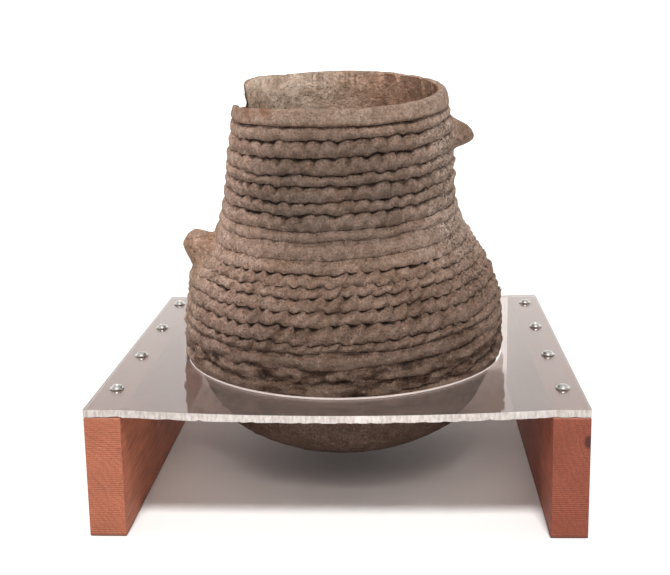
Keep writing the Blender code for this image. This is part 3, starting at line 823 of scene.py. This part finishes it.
SHEET_ROWS = (
    # round the sheet's section: share of the way from hole to border, step back from the hole, height
    *((1.0, 0.0, height) for height in (0.004, 0.0029, 0.0018, 0.0008, 0.00002)),
    *((share, 0.0, 0.0) for share in (0.975, 0.9, 0.75, 0.55, 0.35, 0.15)),
    (0.0, 0.0004, 0.0), (0.0, 0.0, 0.0004), (0.0, 0.0, 0.0034), (0.0, 0.0006, 0.004),
    *((share, 0.0, 0.004) for share in (0.15, 0.35, 0.55, 0.75, 0.9, 0.975)),
)
SHEET_SPOKES = 480
DRILL_CLEARANCE = 0.0005


def sheet_point(angle, share, back, height):
    """A point of the sheet, with the nicks of its sawn border and the chips under its front edge."""
    start = HOLE_RADIUS + back
    distance = start + (border_distance(angle) - start) * share
    x = HOLE_CENTRE[0] + distance * math.cos(angle)
    y = HOLE_CENTRE[1] + distance * math.sin(angle)
    rise = height
    if share == 1.0:
        nick = max(0.0, noise.noise(Vector((x, y, height * 2)) * 330.0)) * 0.0004 * (1.0 - height / 0.0045)
        if abs(x) > SHEET_WIDTH / 2 - 1e-6:
            x -= math.copysign(nick, x)
        if abs(y) > SHEET_DEPTH / 2 - 1e-6:
            y -= math.copysign(nick, y)
        if height < 0.0005 and y < 0.002 - SHEET_DEPTH / 2:
            rise += 0.0013 * max(0.0, noise.fractal(Vector((x, y, 5.0)) * 150.0, 1.0, 2.0, 3))
    return x, y, BOARD_HEIGHT + TOUCH_GAP - sheet_drop(x) + rise


def make_sheet():
    corners = [math.atan2(sy * SHEET_DEPTH / 2 - HOLE_CENTRE[1], sx * SHEET_WIDTH / 2 - HOLE_CENTRE[0])
               for sx in (-1, 1) for sy in (-1, 1)]
    angles = sorted([2 * math.pi * i / SHEET_SPOKES - math.pi for i in range(SHEET_SPOKES)] + corners)
    verts = [sheet_point(angle, *row) for row in SHEET_ROWS for angle in angles]
    faces, slots = [], []
    n = len(angles)
    for k, row in enumerate(SHEET_ROWS):
        after = (k + 1) % len(SHEET_ROWS)
        share = row[0] if row[0] == SHEET_ROWS[after][0] else None
        for i in range(n):
            j = (i + 1) % n
            faces.append((k * n + i, k * n + j, after * n + j, after * n + i))
            slots.append({1.0: 1, 0.0: 2}.get(share, 0))
    mesh = bpy.data.meshes.new("sheet")
    mesh.from_pydata(verts, [], faces)
    for finish in (clear_plastic(), sawn_plastic(), glowing_rim()):
        mesh.materials.append(finish)
    mesh.polygons.foreach_set("material_index", slots)
    bm = bmesh.new()
    bm.from_mesh(mesh)
    bmesh.ops.recalc_face_normals(bm, faces=bm.faces)
    bm.to_mesh(mesh)
    bm.free()
    sheet = bpy.data.objects.new("sheet_clear", mesh)
    bpy.context.scene.collection.objects.link(sheet)
    drills = bmesh.new()
    bore = SCREW_SHANK_RADIUS + DRILL_CLEARANCE
    for x, y in screw_places():
        made = bmesh.ops.create_cone(
            drills, cap_ends=True, segments=24, radius1=bore, radius2=bore, depth=0.02)
        bmesh.ops.translate(drills, verts=made["verts"], vec=(x, y, BOARD_HEIGHT))
    apply_cut(sheet, drills)
    mesh.shade_smooth()
    sheet.data.set_sharp_from_angle(angle=math.radians(28))
    return sheet


def apply_cut(piece, cutter_mesh):
    """Cuts this shape out of the piece."""
    mesh = bpy.data.meshes.new("cutter")
    bmesh.ops.recalc_face_normals(cutter_mesh, faces=cutter_mesh.faces)
    cutter_mesh.to_mesh(mesh)
    cutter_mesh.free()
    cutter = bpy.data.objects.new("cutter", mesh)
    bpy.context.scene.collection.objects.link(cutter)
    step = piece.modifiers.new("cut", "BOOLEAN")
    step.operation = "DIFFERENCE"
    step.object = cutter
    step.solver = "EXACT"
    bpy.context.view_layer.update()
    cut = bpy.data.meshes.new_from_object(piece.evaluated_get(bpy.context.evaluated_depsgraph_get()))
    piece.modifiers.clear()
    piece.data = cut
    bpy.data.objects.remove(cutter)


def screw_places():
    for side in (-1, 1):
        first, last = FIRST_SCREW_INSET - SHEET_DEPTH / 2, SHEET_DEPTH / 2 - LAST_SCREW_INSET
        for y in np.linspace(first, last, SCREWS_A_SIDE):
            yield side * (SHEET_WIDTH / 2 - SCREW_INSET), float(y)


def make_board(side, name, finish):
    bm = bmesh.new()
    bmesh.ops.create_cube(bm, size=1.0)
    bmesh.ops.scale(bm, verts=bm.verts, vec=(BOARD_THICKNESS, SHEET_DEPTH, BOARD_HEIGHT))
    bmesh.ops.bevel(bm, geom=bm.edges[:], offset=0.0007, segments=3, profile=0.5, affect="EDGES")
    middle = (side * (SHEET_WIDTH - BOARD_THICKNESS) / 2, 0.0, BOARD_HEIGHT / 2)
    bmesh.ops.translate(bm, verts=bm.verts, vec=middle)
    mesh = bpy.data.meshes.new(name)
    bm.to_mesh(mesh)
    bm.free()
    mesh.materials.append(finish)
    board = bpy.data.objects.new(name, mesh)
    bpy.context.scene.collection.objects.link(board)
    mesh.shade_smooth()
    mesh.set_sharp_from_angle(angle=math.radians(40))
    return board


SCREW_HEAD = (
    # shares of the head's radius and height
    (0.0, 1.0), (0.25, 0.99), (0.45, 0.94), (0.60, 0.84), (0.70, 0.68), (0.73, 0.42), (0.76, 0.34),
    (0.90, 0.32), (0.97, 0.26), (1.0, 0.14), (0.99, 0.03), (0.95, 0.0),
)


def screw_mesh(finish):
    """A pan-headed screw with a cross recess."""
    profile = [(r * SCREW_HEAD_RADIUS, h * SCREW_HEAD_HEIGHT) for r, h in SCREW_HEAD]
    depth = -0.0002
    while depth > 0.004 - SCREW_LENGTH:
        profile += [(SCREW_SHANK_RADIUS * 0.72, depth), (SCREW_SHANK_RADIUS, depth - 0.0006)]
        depth -= 0.0012
    profile.append((0.0, -SCREW_LENGTH))
    bm = bmesh.new()
    verts = [bm.verts.new((r, 0.0, z)) for r, z in profile]
    edges = [bm.edges.new(pair) for pair in zip(verts, verts[1:])]
    bmesh.ops.spin(bm, geom=verts + edges, axis=(0, 0, 1), cent=(0, 0, 0), angle=2 * math.pi, steps=32)
    bmesh.ops.remove_doubles(bm, verts=bm.verts, dist=1e-6)
    bmesh.ops.recalc_face_normals(bm, faces=bm.faces)
    mesh = bpy.data.meshes.new("screw")
    bm.to_mesh(mesh)
    bm.free()
    mesh.materials.append(finish)
    piece = bpy.data.objects.new("screw_blank", mesh)
    bpy.context.scene.collection.objects.link(piece)
    bar = Matrix.Diagonal((2.3, 0.62, 1.0, 1.0)) @ Matrix.Rotation(math.pi / 4, 4, "Z")
    for turn in (0, 90):
        recess = bmesh.new()
        bmesh.ops.create_cone(recess, cap_ends=True, segments=4, radius1=0.0003, radius2=0.0011, depth=0.0022)
        place = Matrix.Translation((0, 0, SCREW_HEAD_HEIGHT - 0.0002))
        place = place @ Matrix.Rotation(math.radians(turn), 4, "Z")
        bmesh.ops.transform(recess, matrix=place @ bar, verts=recess.verts)
        apply_cut(piece, recess)
    made = piece.data
    bpy.data.objects.remove(piece)
    made.shade_smooth()
    made.set_sharp_from_angle(angle=math.radians(35))
    return made


def make_screws():
    mesh = screw_mesh(steel())
    turns = (12, 71, 38, 5, 55, 20, 80, 33)
    for number, ((x, y), turn) in enumerate(zip(screw_places(), turns)):
        side = "left" if number < SCREWS_A_SIDE else "right"
        name = f"screw_{side}_{number % SCREWS_A_SIDE + 1}"
        screw = bpy.data.objects.new(f"{name}_pan_head", mesh)
        bpy.context.scene.collection.objects.link(screw)
        screw.location = (x, y, BOARD_HEIGHT + SHEET_THICKNESS + 2 * TOUCH_GAP)
        screw.rotation_euler = (0.0, 0.0, math.radians(turn))
        keep(screw, "bright_steel", name)


def keep(piece, slot, *nodes):
    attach(piece, "root")
    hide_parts(*nodes)


# Camera, light and floor

CAMERA_PLACE = (0.03165, -0.71213, 0.25998)
CAMERA_LENS = 66.28
CAMERA_TURNS = (12.489, 2.979, -0.9425)
STAGE_PROFILE = (
    # radius and height of the floor, which rises into a low dish far from the object
    (0.0, 0.0), (1.6, 0.0), (1.9, 0.04), (2.2, 0.18), (2.45, 0.46), (2.6, 0.95), (2.65, 1.8),
)
LIGHT_DIRECTION = (-0.02, 0.54, -0.92)


def make_camera():
    pitch, yaw, roll = (math.radians(turn) for turn in CAMERA_TURNS)
    forward = Vector((-math.sin(yaw) * math.cos(pitch), math.cos(yaw) * math.cos(pitch), -math.sin(pitch)))
    right = Vector((math.cos(yaw), math.sin(yaw), 0.0))
    up = right.cross(forward)
    across = right * math.cos(roll) + up * math.sin(roll)
    upward = up * math.cos(roll) - right * math.sin(roll)
    data = bpy.data.cameras.new("camera")
    data.sensor_fit = "HORIZONTAL"
    data.sensor_width = 36.0
    data.lens = CAMERA_LENS
    data.clip_start = 0.01
    camera = bpy.data.objects.new("camera", data)
    bpy.context.scene.collection.objects.link(camera)
    facing = Matrix((across, upward, -forward)).transposed().to_4x4()
    camera.matrix_world = Matrix.Translation(CAMERA_PLACE) @ facing
    bpy.context.scene.camera = camera


def make_stage():
    bm = bmesh.new()
    verts = [bm.verts.new((r, 0.0, z)) for r, z in STAGE_PROFILE]
    edges = [bm.edges.new(pair) for pair in zip(verts, verts[1:])]
    bmesh.ops.spin(bm, geom=verts + edges, axis=(0, 0, 1), cent=(0, 0, 0), angle=2 * math.pi, steps=96)
    bmesh.ops.remove_doubles(bm, verts=bm.verts, dist=1e-5)
    bmesh.ops.recalc_face_normals(bm, faces=bm.faces)
    mesh = bpy.data.meshes.new("floor")
    bm.to_mesh(mesh)
    bm.free()
    mesh.shade_smooth()
    mesh.materials.append(pale_floor())
    floor = bpy.data.objects.new("floor", mesh)
    bpy.context.scene.collection.objects.link(floor)
    floor.location.z = -0.0002
    world = bpy.data.worlds.new("studio")
    bpy.context.scene.world = world
    world.use_nodes = True
    sky = world.node_tree.nodes["Background"].inputs
    sky["Color"].default_value = (1.0, 0.985, 0.97, 1.0)
    sky["Strength"].default_value = 0.47
    data = bpy.data.lights.new("key", "SUN")
    data.energy = 3.3
    data.angle = math.radians(12)
    data.color = (1.0, 0.985, 0.965)
    lamp = bpy.data.objects.new("key", data)
    bpy.context.scene.collection.objects.link(lamp)
    lamp.rotation_euler = Vector(LIGHT_DIRECTION).to_track_quat("-Z", "Y").to_euler()
    bpy.context.scene.view_settings.view_transform = "Standard"


def main():
    make_camera()
    jar = make_jar()
    jar.data.materials.append(clay())
    keep(jar, "fired_clay", "jar")
    sheet = make_sheet()
    keep(sheet, "clear_acrylic", "acrylic_sheet")
    left = wood("stained wood left", (0.430, 0.148, 0.086), (0.270, 0.080, 0.045), (-0.190, -0.030))
    right = wood("stained wood right", (0.275, 0.076, 0.045), (0.160, 0.040, 0.024), (0.230, 0.080))
    keep(make_board(-1, "board_left_wood", left), "stained_wood", "board_left")
    keep(make_board(1, "board_right_wood", right), "stained_wood", "board_right")
    make_screws()
    make_stage()


main()
